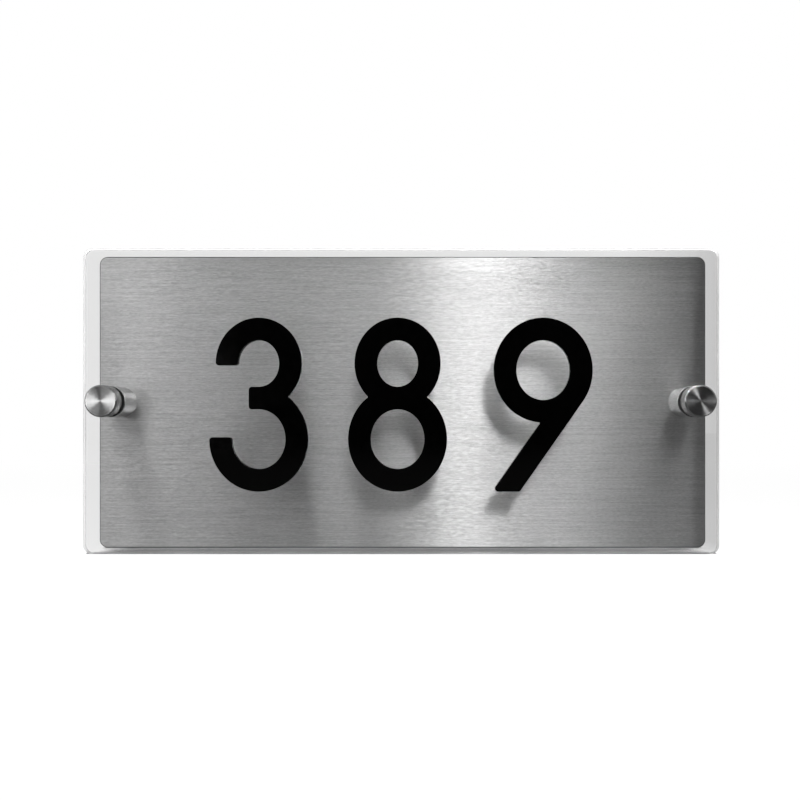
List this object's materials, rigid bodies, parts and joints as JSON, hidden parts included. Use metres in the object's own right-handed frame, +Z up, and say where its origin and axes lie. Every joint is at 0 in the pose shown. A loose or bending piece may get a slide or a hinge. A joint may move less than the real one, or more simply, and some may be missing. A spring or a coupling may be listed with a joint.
{
  "type": "house number plaque",
  "caption": "Wall plaque with raised black numerals on a clear acrylic panel, held off a brushed steel back plate by turned stand-offs and fixed through them with countersunk screws.",
  "frame": {"origin": "middle of the back plate's rear face, on the wall plane, midway between the two wall screws", "axes": "+X to the viewer's right along the plaque, +Y out of its back into the wall, +Z up"},
  "size_m": [0.3, 0.062, 0.144],
  "materials": {
    "clear_acrylic": "polished",
    "brushed_steel": "satin",
    "black_acrylic": "gloss",
    "turned_steel": "satin",
    "black_rubber": "matte",
    "zinc_plate": "satin"
  },
  "bodies": {
    "root": {"front_panel": "clear_acrylic", "back_plate": "brushed_steel", "digit_3": "black_acrylic", "digit_8": "black_acrylic", "digit_9": "black_acrylic", "standoff_barrel_left": "turned_steel", "standoff_barrel_right": "turned_steel", "standoff_cap_left": "turned_steel", "standoff_cap_right": "turned_steel", "front_washer_left": "black_rubber", "front_washer_right": "black_rubber", "rear_washer_left": "black_rubber", "rear_washer_right": "black_rubber", "wall_screw_left": "zinc_plate", "wall_screw_right": "zinc_plate"}
  },
  "joints": []
}
